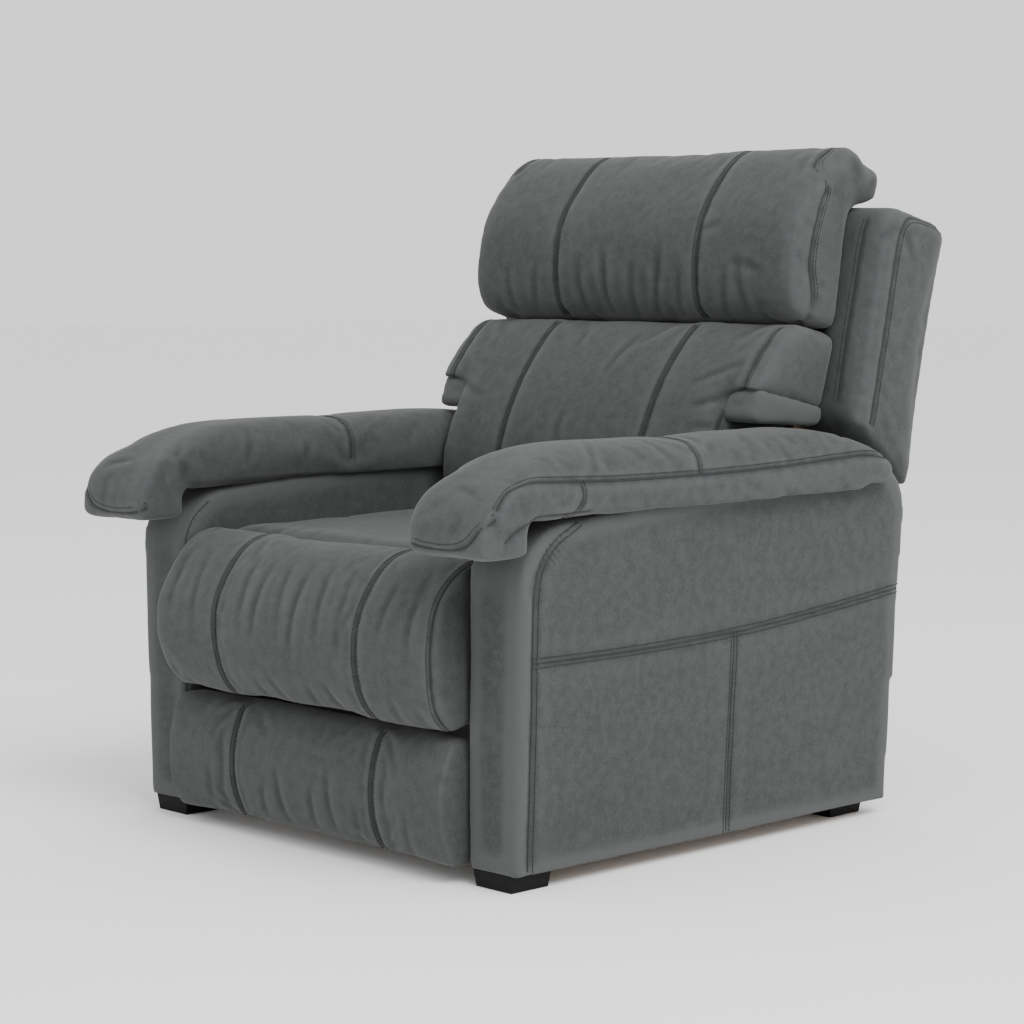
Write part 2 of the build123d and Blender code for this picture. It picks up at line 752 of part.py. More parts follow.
with BuildPart() as lumbar_cushion:
    with BuildSketch(back_plane(-lumbar_low_half_width)) as profile:
        with BuildLine():
            front = Spline(
                (-66, lumbar_bottom), (-94, 172), (-85, 258), (-55, 346), (-9, 420), (8, lumbar_top),
                tangents=[(-1, 1.2), (0.9, 0.6)],
            )
            Polyline(front @ 1, (cushion_rear, lumbar_top), (cushion_rear, lumbar_bottom), front @ 0)
        make_face()
    extrude(amount=2 * lumbar_low_half_width)
    with BuildSketch(back_plane(-cushion_half_width)):
        add(profile.sketch_local)
        with Locations((0, lumbar_wide_from - 200)):
            Rectangle(600, 400, mode=Mode.SUBTRACT)
    extrude(amount=2 * cushion_half_width)
write(lumbar_cushion.part, "lumbar_cushion")

with BuildPart() as head_cushion:
    with BuildSketch(back_plane(-cushion_half_width)):
        with BuildLine():
            front = Spline(
                (12, head_bottom), (-31, 502), (-37, 569), (-13, wing_top + 2), (34, wing_top + 66),
                (86, wing_top + 86), (136, wing_top + 66),
                (156, wing_top + 2), tangents=[(-1, 0.4), (-0.1, -1)],
            )
            Polyline(
                front @ 1, (cushion_rear, wing_top + 2), (cushion_rear, head_bottom), front @ 0
            )
        make_face()
    extrude(amount=2 * cushion_half_width)
write(head_cushion.part, "head_cushion")

# ---------------------------------------------------------------- release handle and its cable
cup_length = handle_length - 2 * handle_wall
cup_height = handle_height - 2 * handle_wall
with BuildPart() as handle_bezel:
    with BuildSketch(handle_plane):
        RectangleRounded(handle_length + 2 * handle_flange, handle_height + 2 * handle_flange, handle_corner + 8)
    extrude(amount=handle_wall)
    with BuildSketch(handle_plane):
        RectangleRounded(handle_length, handle_height, handle_corner)
    extrude(amount=-handle_depth)
    with BuildSketch(handle_plane.offset(handle_wall)):
        RectangleRounded(cup_length, cup_height, handle_corner - handle_wall)
    extrude(amount=-handle_depth, mode=Mode.SUBTRACT)
write(handle_bezel.part, "handle_bezel")

handle_pin_up = 18.0
handle_pin_level = -9.0         # below the cup's rim
paddle_length = 88.0
paddle_thickness = 7.0
paddle_drop = 36.0
barrel_radius = 5.5
pin_side_plane = Plane(
    origin=handle_plane.from_local_coords((0, 0, 0)), x_dir=handle_plane.y_dir, z_dir=handle_plane.x_dir
)


def handle_bar(length, radius):
    """Round bar along the handle's pivot line, centred on the cup."""
    with BuildPart() as bar:
        with BuildSketch(pin_side_plane.offset(-length / 2)):
            with Locations((handle_pin_up, handle_pin_level)):
                Circle(radius)
        extrude(amount=length)
    return bar.part


handle_pin = handle_bar(cup_length, handle_pin_radius)
write(handle_pin, "handle_pin")

with BuildPart() as release_handle:
    add(handle_bar(paddle_length, barrel_radius))
    with BuildSketch(pin_side_plane.offset(-paddle_length / 2)):
        with Locations((handle_pin_up - paddle_drop / 2, handle_pin_level)):
            Rectangle(paddle_drop, paddle_thickness)
    extrude(amount=paddle_length)
    add(handle_bar(paddle_length, handle_pin_radius + running_clearance), mode=Mode.SUBTRACT)
write(release_handle.part, "release_handle")

cable_points = [
    (-outer_face(handle_z) + 19, handle_y, handle_z - handle_height / 2),
    (-403, -148, 266), (-392, -110, 243), (-362, -74, 256), (-328, -60, 262), (-300, -56, 262),
    (-284, -36, 264), (-plate_inner_x + 11, anchor_y, anchor_z - 12),
    (-plate_inner_x + 11, anchor_y, anchor_z - soft_gap),
]


def cable_radii(points):
    """Bend radius at each inner point, as large as its two runs allow."""
    radii = []
    for before, here, after in zip(points, points[1:], points[2:]):
        run_in = Vector(*here) - Vector(*before)
        run_out = Vector(*after) - Vector(*here)
        half_turn = radians(run_in.get_angle(run_out)) / 2
        radii.append(0.45 * min(run_in.length, run_out.length) / tan(half_turn))
    return radii


radii = cable_radii(cable_points)
print("release cable bend radii", [round(radius, 1) for radius in radii])
cable_path = FilletPolyline(*cable_points, radius=radii)
with BuildPart() as release_cable:
    with BuildLine():
        add(cable_path)
    with BuildSketch(Plane(origin=cable_path @ 0, z_dir=cable_path % 0)):
        Circle(cable_radius)
    sweep()
write(release_cable.part, "release_cable")
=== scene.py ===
"""Recliner armchair: upholstery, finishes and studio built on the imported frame."""
import json
import logging
from dataclasses import dataclass, field
from enum import Enum
from math import cos, radians, sin, tau

import bpy
import numpy as np
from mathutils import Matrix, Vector
from mathutils.bvhtree import BVHTree

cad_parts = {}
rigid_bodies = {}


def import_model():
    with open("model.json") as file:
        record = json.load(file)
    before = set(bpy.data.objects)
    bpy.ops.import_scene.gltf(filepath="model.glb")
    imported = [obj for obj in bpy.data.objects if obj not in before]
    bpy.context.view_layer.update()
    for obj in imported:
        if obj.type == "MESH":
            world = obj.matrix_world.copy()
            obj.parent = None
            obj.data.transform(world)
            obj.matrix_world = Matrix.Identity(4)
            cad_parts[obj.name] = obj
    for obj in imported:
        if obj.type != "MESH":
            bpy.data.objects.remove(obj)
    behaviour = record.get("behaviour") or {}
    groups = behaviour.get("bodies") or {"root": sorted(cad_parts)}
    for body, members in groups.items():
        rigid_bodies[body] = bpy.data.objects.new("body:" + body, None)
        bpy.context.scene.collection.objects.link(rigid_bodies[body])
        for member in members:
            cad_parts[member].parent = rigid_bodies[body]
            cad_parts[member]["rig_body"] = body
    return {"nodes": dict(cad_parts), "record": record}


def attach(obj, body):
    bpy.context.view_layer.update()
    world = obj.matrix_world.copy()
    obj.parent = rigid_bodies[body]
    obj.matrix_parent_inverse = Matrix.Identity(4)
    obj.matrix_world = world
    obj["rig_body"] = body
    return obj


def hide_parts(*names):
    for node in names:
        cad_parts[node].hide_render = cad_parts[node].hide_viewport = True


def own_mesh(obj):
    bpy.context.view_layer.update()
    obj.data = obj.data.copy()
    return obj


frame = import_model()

log = logging.getLogger("recliner")

ORIGIN_SHIFT = -16.45  # millimetres from the chair's own middle line to the frame's origin
BACK_HINGE = (150.0, 350.0)  # y and z of the back's hinge, in millimetres
BACK_LEAN = radians(12.7)

SEAM_REACH = 0.05  # metres around a seam or fold in which its pull is worked out
PINNED_REACH = 0.006  # metres beside a pinned seam where the cover is held
PINNED_SEARCH = 0.02  # metres around a pinned seam that are measured
SEAM_SHADE = 0.003  # metres beside a seam that are shaded
PUCKER_HEIGHT, PUCKER_LENGTH, PUCKER_REACH = 0.35, 0.022, 0.016  # millimetres, metres, metres
FOLD_BANK, FOLD_SPREAD, FOLD_GAIN = 0.45, 2.2, 1.6  # raised banks beside a fold's groove
SWELL_FRAMES = 20  # length of the cloth simulation
SWELL_SHARE = 0.55  # share of the simulated movement that is kept
SWELL_ROOM = 3.0  # millimetres a cover may swell beyond its inset
SWELL_LIMIT = 0.024  # metres, the most any point may move
CREST_ROUNDS, CREST_GAIN = 6, 5.0  # smoothing of the bend, and how strongly it shows as painted highlight and painted shade

Point = tuple[float, float, float]


class Side(Enum):
    """The sitter's two sides, with the sign of their x."""

    LEFT = 1
    RIGHT = -1


@dataclass(frozen=True)
class Suede:
    """Colours and grain of the upholstery fabric: its own base colour, a darker colour for painted shade in creases
    and along seams, and a lighter colour for a painted highlight on crests.
    """

    base: tuple[float, float, float] = (0.044, 0.047, 0.047)
    # painted shade: darker colour painted into creases and along seams
    crease: tuple[float, float, float] = (0.019, 0.020, 0.021)
    # painted highlight: lighter colour painted onto crests
    crest: tuple[float, float, float] = (0.072, 0.076, 0.076)
    roughness: float = 0.92
    sheen: float = 0.12


@dataclass(frozen=True)
class Plain:
    """A plain finish: wood, plastic or metal with a little uneven wear."""

    light: tuple[float, float, float]
    dark: tuple[float, float, float]
    roughness: float
    metallic: float = 0.0
    scale: float = 40.0
    stretch: tuple[float, float, float] = (1.0, 1.0, 1.0)
    bump: float = 0.05
    specular: float = 0.5


@dataclass(frozen=True)
class Seam:
    """A sewn line on a soft piece. Lengths are in millimetres.

    Args:
        path: points on or near the surface, joined by a smooth curve.
        depth: how far the seam pulls the fabric in.
        width: half width of the groove.
        rows: offsets of the rows of top-stitches.
        pinned: whether the seam holds the fabric while the piece swells.
    """

    path: tuple[Point, ...]
    depth: float = 3.0
    width: float = 4.5
    rows: tuple[float, ...] = (-6.0, 6.0)
    pinned: bool = True


@dataclass(frozen=True)
class Fold:
    """A soft crease that fades out at both ends. Lengths are in millimetres."""

    path: tuple[Point, ...]
    depth: float = 2.5
    width: float = 9.0


def on_back(x: float, behind: float, up: float) -> Point:
    """A point in the leaning back's own directions.

    Args:
        x: sideways place.
        behind: distance behind the hinge, square to the back.
        up: distance up the back from the hinge.

    Returns:
        The same point as x, y and z in millimetres.
    """
    y = BACK_HINGE[0] + behind * cos(BACK_LEAN) + up * sin(BACK_LEAN)
    z = BACK_HINGE[1] - behind * sin(BACK_LEAN) + up * cos(BACK_LEAN)
    return (x, y, z)


def across(x: float, profile: tuple[tuple[float, float], ...]) -> tuple[Point, ...]:
    """A side profile, as y and z pairs, placed at one x."""
    return tuple((x, y, z) for y, z in profile)


def curve_through(path: tuple[Point, ...], step: float = 6.0) -> np.ndarray:
    """Even points on a smooth curve through a path.

    Args:
        path: corner points in millimetres.
        step: spacing of the points that come back.

    Returns:
        Points in metres in the frame's directions.
    """
    p = np.array(path, float)
    p = np.vstack([2 * p[0] - p[1], p, 2 * p[-1] - p[-2]])
    out = []
    for a, b, c, d in zip(p[:-3], p[1:-2], p[2:-1], p[3:]):
        t = np.linspace(0, 1, 12, endpoint=False)[:, None]
        out.append(0.5 * (2 * b + (c - a) * t + (2 * a - 5 * b + 4 * c - d) * t**2 + (3 * b - 3 * c + d - a) * t**3))
    q = np.vstack([*out, p[-2:-1]])
    length = np.concatenate([[0], np.cumsum(np.linalg.norm(np.diff(q, axis=0), axis=1))])
    even = np.linspace(0, length[-1], max(3, int(length[-1] / step) + 1))
    q = np.column_stack([np.interp(even, length, q[:, i]) for i in range(3)])
    q[:, 1] += ORIGIN_SHIFT
    return q / 1000


def coordinates(mesh: bpy.types.Mesh) -> np.ndarray:
    """A mesh's points, in metres."""
    co = np.empty(len(mesh.vertices) * 3, np.float32)
    mesh.vertices.foreach_get("co", co)
    return co.reshape(-1, 3).astype(float)


def baked(piece: bpy.types.Object) -> bpy.types.Mesh:
    """A new mesh with the piece's modifiers applied."""
    bpy.context.view_layer.update()
    depsgraph = bpy.context.evaluated_depsgraph_get()
    return bpy.data.meshes.new_from_object(piece.evaluated_get(depsgraph), depsgraph=depsgraph)


class Surface:
    """Arrays and common edits of one mesh object."""

    def __init__(self, piece: bpy.types.Object) -> None:
        self.piece = piece
        mesh = piece.data
        self.edges = np.empty(len(mesh.edges) * 2, np.int32)
        mesh.edges.foreach_get("vertices", self.edges)
        self.edges = self.edges.reshape(-1, 2)
        self.read()

    def read(self) -> None:
        """Takes the points from the mesh."""
        self.points = coordinates(self.piece.data)
        self.tree = None

    def write(self) -> None:
        """Puts the points back into the mesh."""
        self.piece.data.vertices.foreach_set("co", self.points.astype(np.float32).ravel())
        self.piece.data.update()
        self.tree = None

    def normals(self) -> np.ndarray:
        """Outward directions at the points, as the mesh has them now."""
        n = np.empty(len(self.points) * 3, np.float32)
        self.piece.data.vertices.foreach_get("normal", n)
        return n.reshape(-1, 3).astype(float)

    def neighbours(self, values: np.ndarray) -> np.ndarray:
        """Mean of a value over each point's neighbours."""
        values = values if values.ndim == 2 else values[:, None]
        total = np.zeros_like(values)
        count = np.zeros(len(values))
        for a, b in (self.edges.T, self.edges.T[::-1]):
            for i in range(values.shape[1]):
                total[:, i] += np.bincount(a, values[b, i], len(values))
            count += np.bincount(a, minlength=len(values))
        return total / np.maximum(count, 1)[:, None]

    def relax(self, rounds: int) -> None:
        """Smooths the points towards their neighbours."""
        for _ in range(rounds):
            self.points += 0.5 * (self.neighbours(self.points) - self.points)
        self.write()

    def round_off(self, rounds: int) -> None:
        """Rounds the edges off and keeps the slower shape, by smoothing twice and giving back what the first took."""
        start = self.points.copy()
        self.relax(rounds)
        lost = start - self.points
        for _ in range(rounds):
            lost += 0.5 * (self.neighbours(lost) - lost)
        self.points += lost
        self.write()

    def push(self, amount: np.ndarray | float) -> None:
        """Moves the points along their normals by an amount in metres."""
        self.points += self.normals() * np.reshape(amount, (-1, 1))
        self.write()

    def along(self, line: np.ndarray, reach: float) -> tuple[np.ndarray, np.ndarray]:
        """Distance of every point from a line, and how far along the line it lies.

        Args:
            line: points of the line, in metres.
            reach: points farther away than this are left out.

        Returns:
            Distances in metres and shares of the length from 0 to 1.
        """
        near = np.all((self.points > line.min(0) - reach) & (self.points < line.max(0) + reach), axis=1)
        p = self.points[near]
        best, share = np.full(len(p), 9.0), np.zeros(len(p))
        for i, (a, b) in enumerate(zip(line[:-1], line[1:])):
            d = b - a
            t = np.clip((p - a) @ d / max(d @ d, 1e-12), 0, 1)
            gap = np.linalg.norm(p - a - t[:, None] * d, axis=1)
            closer = gap < best
            best[closer], share[closer] = gap[closer], ((i + t) / (len(line) - 1))[closer]
        distance, place = np.full(len(self.points), 9.0), np.zeros(len(self.points))
        distance[near], place[near] = best, share
        return distance, place

    def project(self, line: np.ndarray) -> tuple[np.ndarray, np.ndarray]:
        """The nearest places on the surface to a line's points, and the normals there."""
        if self.tree is None:
            faces = [tuple(face.vertices) for face in self.piece.data.polygons]
            self.tree = BVHTree.FromPolygons(self.points.tolist(), faces)
        hits = [self.tree.find_nearest(Vector(p)) for p in line]
        return np.array([tuple(h[0]) for h in hits]), np.array([tuple(h[1]) for h in hits])


def smooth_line(line: np.ndarray, rounds: int = 3) -> np.ndarray:
    """Evens out the small steps of a line that was laid on a mesh."""
    line = line.copy()
    for _ in range(rounds):
        line[1:-1] = 0.25 * line[:-2] + 0.5 * line[1:-1] + 0.25 * line[2:]
    return line


def waves(points: np.ndarray, seed: int, length: float, count: int = 9) -> np.ndarray:
    """Gentle unevenness with a mean of nothing, from a few crossing waves.

    Args:
        points: places in metres.
        seed: fixes the directions and phases.
        length: typical wavelength in metres.
        count: number of waves.

    Returns:
        Values between about -1 and 1.
    """
    rng = np.random.default_rng(seed)
    total = np.zeros(len(points))
    for _ in range(count):
        direction = rng.normal(size=3)
        direction /= np.linalg.norm(direction) * length * rng.uniform(0.6, 1.6)
        total += np.sin(tau * (points @ direction) + rng.uniform(0, tau))
    return total / np.sqrt(count * 2)


class Threads:
    """Geometry node trees for stitches, and for dark seam lines that stand as painted shade in each seam's join."""

    def __init__(self, thread: bpy.types.Material) -> None:
        self.thread = thread
        self.stitches = self._tree("Stitch row", True)
        self.lines = self._tree("Seam line", False)

    def _tree(self, name: str, stitched: bool) -> bpy.types.NodeTree:
        """One tree: a row of short stitches, or one unbroken line, along a curve."""
        tree = bpy.data.node_groups.new(name, "GeometryNodeTree")
        face = tree.interface
        face.new_socket("Geometry", in_out="INPUT", socket_type="NodeSocketGeometry")
        for label, value in (("Radius", 0.0007), ("Stitch Length", 0.0052), ("Spacing", 0.0068)):
            socket = face.new_socket(label, in_out="INPUT", socket_type="NodeSocketFloat")
            socket.default_value, socket.min_value = value, 0.0
        face.new_socket("Material", in_out="INPUT", socket_type="NodeSocketMaterial")
        face.new_socket("Geometry", in_out="OUTPUT", socket_type="NodeSocketGeometry")
        start, end = tree.nodes.new("NodeGroupInput"), tree.nodes.new("NodeGroupOutput")
        paint = tree.nodes.new("GeometryNodeSetMaterial")
        link = tree.links.new
        if stitched:
            places = tree.nodes.new("GeometryNodeCurveToPoints")
            places.mode = "LENGTH"
            rod = tree.nodes.new("GeometryNodeMeshCylinder")
            rod.inputs["Vertices"].default_value = 6
            instance = tree.nodes.new("GeometryNodeInstanceOnPoints")
            real = tree.nodes.new("GeometryNodeRealizeInstances")
            link(start.outputs["Geometry"], places.inputs["Curve"])
            link(start.outputs["Spacing"], places.inputs["Length"])
            link(start.outputs["Radius"], rod.inputs["Radius"])
            link(start.outputs["Stitch Length"], rod.inputs["Depth"])
            link(places.outputs["Points"], instance.inputs["Points"])
            link(places.outputs["Rotation"], instance.inputs["Rotation"])
            link(rod.outputs["Mesh"], instance.inputs["Instance"])
            link(instance.outputs["Instances"], real.inputs["Geometry"])
            made = real.outputs["Geometry"]
        else:
            ring = tree.nodes.new("GeometryNodeCurvePrimitiveCircle")
            ring.inputs["Resolution"].default_value = 6
            sweep = tree.nodes.new("GeometryNodeCurveToMesh")
            sweep.inputs["Fill Caps"].default_value = True
            link(start.outputs["Radius"], ring.inputs["Radius"])
            link(start.outputs["Geometry"], sweep.inputs["Curve"])
            link(ring.outputs["Curve"], sweep.inputs["Profile Curve"])
            made = sweep.outputs["Mesh"]
        link(made, paint.inputs["Geometry"])
        link(start.outputs["Material"], paint.inputs["Material"])
        link(paint.outputs["Geometry"], end.inputs["Geometry"])
        return tree

    def sew(self, name: str, lines: list[np.ndarray], stitched: bool, radius: float) -> bpy.types.Object:
        """Lays thread along lines and bakes it to one mesh.

        Args:
            name: name of the piece.
            lines: point rows in metres.
            stitched: short stitches if true, one unbroken line if false.
            radius: thread radius in metres.

        Returns:
            The new mesh object.
        """
        data = bpy.data.curves.new(name, "CURVE")
        data.dimensions = "3D"
        for line in lines:
            spline = data.splines.new("POLY")
            spline.points.add(len(line) - 1)
            spline.points.foreach_set("co", np.column_stack([line, np.ones(len(line))]).astype(np.float32).ravel())
        guide = bpy.data.objects.new(name + "_guide", data)
        bpy.context.scene.collection.objects.link(guide)
        modifier = guide.modifiers.new("Thread", "NODES")
        tree = self.stitches if stitched else self.lines
        modifier.node_group = tree
        sockets = {s.name: s.identifier for s in tree.interface.items_tree if s.in_out == "INPUT"}
        modifier[sockets["Radius"]] = radius
        modifier[sockets["Material"]] = self.thread
        mesh = baked(guide)
        bpy.data.objects.remove(guide)
        mesh.name = name
        piece = bpy.data.objects.new(name, mesh)
        bpy.context.scene.collection.objects.link(piece)
        return piece


@dataclass
class SoftPiece:
    """One stuffed or padded piece, made from its CAD solid.

    Args:
        node: the CAD node it stands for.
        seams: sewn lines.
        folds: soft creases.
        voxel: remesh size in millimetres.
        inset: how much smaller the cover starts before it swells, in millimetres.
        soften: rounds of smoothing that round the edges off.
        swell: whether the cover is swelled with a cloth simulation.
        unevenness: height of the slow waves in its surface, in millimetres.
        fill: how full it is, from 0 to 1; not used.
    """

    node: str
    seams: list[Seam] = field(default_factory=list)
    folds: list[Fold] = field(default_factory=list)
    voxel: float = 6.0
    inset: float = 5.0
    soften: int = 6
    swell: bool = True
    unevenness: float = 1.2
    fill: float = 0.6

    def build(self, fabric: bpy.types.Material, threads: Threads) -> bpy.types.Object:
        """Makes the piece with its seams and stitches.

        Args:
            fabric: material of the cover.
            threads: the node trees that lay stitches.

        Returns:
            The finished mesh object.
        """
        piece = self._remeshed()
        surface = Surface(piece)
        surface.round_off(self.soften)
        held = [smooth_line(surface.project(curve_through(s.path, 12.0))[0]) for s in self.seams if s.pinned]
        if self.swell:
            surface.push(-self.inset / 1000)
            self._swell(surface, held)
        if self.swell:
            self._subdivide(piece)
            surface = Surface(piece)
        surface.push(waves(surface.points, len(self.node), 0.16) * self.unevenness / 1000)
        lines = self._sewn_lines(surface)
        seam = self._carve(surface, lines)
        self._shade(surface, seam)
        piece.data.materials.clear()
        piece.data.materials.append(fabric)
        piece.data.polygons.foreach_set("use_smooth", np.ones(len(piece.data.polygons), bool))
        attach(piece, self._body())
        self._declare(piece)
        self._stitch(surface, lines, threads)
        log.info("%s: %d faces", piece.name, len(piece.data.polygons))
        return piece

    def _body(self) -> str:
        """The body the piece moves with."""
        return frame["nodes"][self.node]["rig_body"]

    def _declare(self, piece: bpy.types.Object) -> None:
        """Hides the CAD node the piece stands for."""
        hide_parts(self.node)

    def _source(self) -> bpy.types.Mesh:
        """The mesh the piece starts from."""
        return frame["nodes"][self.node].data.copy()

    def _remeshed(self) -> bpy.types.Object:
        """A closed, even copy of the source's surface."""
        piece = bpy.data.objects.new(self.node + "_cover", self._source())
        bpy.context.scene.collection.objects.link(piece)
        remesh = piece.modifiers.new("Remesh", "REMESH")
        remesh.mode, remesh.voxel_size, remesh.adaptivity = "VOXEL", self.voxel / 1000, 0.0
        self._apply(piece)
        return piece

    def _apply(self, piece: bpy.types.Object) -> None:
        """Bakes the piece's modifiers into its mesh."""
        mesh = baked(piece)
        piece.modifiers.clear()
        piece.data = mesh
        mesh.name = piece.name

    def _subdivide(self, piece: bpy.types.Object) -> None:
        """One smooth subdivision."""
        finer = piece.modifiers.new("Finer", "SUBSURF")
        finer.levels = finer.render_levels = 1
        self._apply(piece)

    def _swell(self, surface: Surface, held: list[np.ndarray]) -> None:
        """Lets pressure swell the cover between the seams that hold it."""
        piece, scene = surface.piece, bpy.context.scene
        before, normals = surface.points.copy(), surface.normals()
        group = piece.vertex_groups.new(name="held")
        pinned = np.zeros(len(before), bool)
        for line in held:
            pinned |= surface.along(line, PINNED_SEARCH)[0] < PINNED_REACH
        group.add(np.flatnonzero(pinned).tolist(), 1.0, "REPLACE")
        cloth = piece.modifiers.new("Cloth", "CLOTH")
        settings = cloth.settings
        settings.quality, settings.mass = 5, 0.3
        settings.tension_stiffness = settings.compression_stiffness = 15
        settings.shear_stiffness, settings.bending_stiffness = 5, 0.4
        settings.shrink_min = -0.015
        settings.use_pressure, settings.uniform_pressure_force = True, 3.0
        settings.effector_weights.gravity = 0
        settings.vertex_group_mass = "held"
        cloth.collision_settings.use_collision = False
        cloth.point_cache.frame_start, cloth.point_cache.frame_end = 1, SWELL_FRAMES
        for number in range(1, SWELL_FRAMES + 1):
            scene.frame_set(number)
        depsgraph = bpy.context.evaluated_depsgraph_get()
        shift = coordinates(piece.evaluated_get(depsgraph).data) - before
        outward = np.einsum("ij,ij->i", shift, normals)
        limit = (self.inset + SWELL_ROOM) / 1000 / SWELL_SHARE
        shift += ((limit * np.tanh(outward / limit)) - outward)[:, None] * normals
        shift *= SWELL_SHARE
        size = np.linalg.norm(shift, axis=1, keepdims=True)
        shift *= np.minimum(1, SWELL_LIMIT / np.maximum(size, 1e-9))
        piece.modifiers.clear()
        piece.vertex_groups.clear()
        scene.frame_set(1)
        surface.points = before + shift
        surface.write()
        surface.relax(1)

    def _sewn_lines(self, surface: Surface) -> list[np.ndarray]:
        """Each seam's line, laid on the surface."""
        return [smooth_line(surface.project(curve_through(s.path))[0]) for s in self.seams]

    def _carve(self, surface: Surface, lines: list[np.ndarray]) -> np.ndarray:
        """Draws the cover in along seams and folds.

        Args:
            surface: the cover.
            lines: where the seams lie.

        Returns:
            How close each point is to a seam, from 0 to 1, where the fabric paints shade.
        """
        draw = np.zeros(len(surface.points))
        seam = np.zeros(len(surface.points))
        for made, line in zip(self.seams, lines):
            gap, _ = surface.along(line, SEAM_REACH)
            draw = np.maximum(draw, made.depth / 1000 * np.exp(-((gap * 1000 / made.width) ** 2)))
            puckers = PUCKER_HEIGHT * (1 + waves(surface.points, 7, PUCKER_LENGTH)) / 1000
            draw += puckers * np.exp(-((gap / PUCKER_REACH) ** 2))
            seam = np.maximum(seam, np.exp(-((gap / SEAM_SHADE) ** 2)))
        for made in self.folds:
            line = smooth_line(surface.project(curve_through(made.path, 12.0))[0])
            gap, place = surface.along(line, SEAM_REACH)
            taper = np.clip(np.sin(place * np.pi), 0, 1)
            across_fold = gap * 1000 / made.width
            ridge = np.exp(-(across_fold**2)) - FOLD_BANK * np.exp(-((across_fold / FOLD_SPREAD) ** 2))
            draw += made.depth / 1000 * ridge * taper * FOLD_GAIN
        surface.push(-draw)
        return seam

    def _shade(self, surface: Surface, seam: np.ndarray) -> None:
        """Stores where the cover is creased, crested or sewn, for the fabric to paint shade into creases and seams
        and a highlight onto crests.
        """
        normals = surface.normals()
        bend = np.einsum("ij,ij->i", surface.points - surface.neighbours(surface.points), normals)[:, None]
        for _ in range(CREST_ROUNDS):
            bend = surface.neighbours(bend)
        # crest above 0.5 drives a painted highlight, below 0.5 painted crease shade
        crest = np.clip(0.5 + bend[:, 0] * 1000 * CREST_GAIN, 0, 1)
        for label, values in (("crest", crest), ("seam", seam)):
            attribute = surface.piece.data.attributes.new(label, "FLOAT", "POINT")
            attribute.data.foreach_set("value", values.astype(np.float32))

    def _stitch(self, surface: Surface, lines: list[np.ndarray], threads: Threads) -> None:
        """Lays dark seam lines in the thread colour as painted shade in each seam's join, and the rows of stitches
        beside them.
        """
        rows = []
        for made, line in zip(self.seams, lines):
            _, normals = surface.project(line)
            along = np.gradient(line, axis=0)
            sideways = np.cross(normals, along)
            sideways /= np.maximum(np.linalg.norm(sideways, axis=1, keepdims=True), 1e-9)
            for offset in made.rows:
                laid, out = surface.project(line + sideways * offset / 1000)
                rows.append(smooth_line(laid, 2) + out * 0.0003)
        if lines:
            # painted shade: a dark tube in the thread colour along each seam's join
            laid = [surface.project(line)[0] for line in lines]
            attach(threads.sew(self.node + "_seams", laid, False, 0.001), self._body())
        if rows:
            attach(threads.sew(self.node + "_stitches", rows, True, 0.00075), self._body())


@dataclass
class Gusset(SoftPiece):
    """A soft filler under the wide part of the lumbar cushion.

    Args:
        side: the side it lies on.
        outline: corners as distances behind and up the back, in millimetres.
        span: inner and outer x, in millimetres.
        folds_to: a height up the back, in millimetres, to fold the piece towards; not used.
    """

    side: Side = Side.LEFT
    outline: tuple[tuple[float, float], ...] = ((-62, 262), (-56, 316), (98, 316), (98, 286))
    span: tuple[float, float] = (276.0, 350.0)
    folds_to: float = 309.0

    def _body(self) -> str:
        """The body the piece moves with."""
        return "backrest"

    def _source(self) -> bpy.types.Mesh:
        """A closed prism with the outline."""
        count = len(self.outline)
        corners = [on_back(x * self.side.value, *at) for x in self.span for at in self.outline]
        points = [(x / 1000, (y + ORIGIN_SHIFT) / 1000, z / 1000) for x, y, z in corners]
        faces = [tuple(range(count)), tuple(range(2 * count - 1, count - 1, -1))]
        faces += [((i + 1) % count, i, i + count, (i + 1) % count + count) for i in range(count)]
        if self.side is Side.RIGHT:
            faces = [face[::-1] for face in faces]
        mesh = bpy.data.meshes.new(self.node)
        mesh.from_pydata(points, [], faces)
        return mesh

    def _declare(self, piece: bpy.types.Object) -> None:
        """Gives the piece its own copy of its mesh."""
        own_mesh(piece)


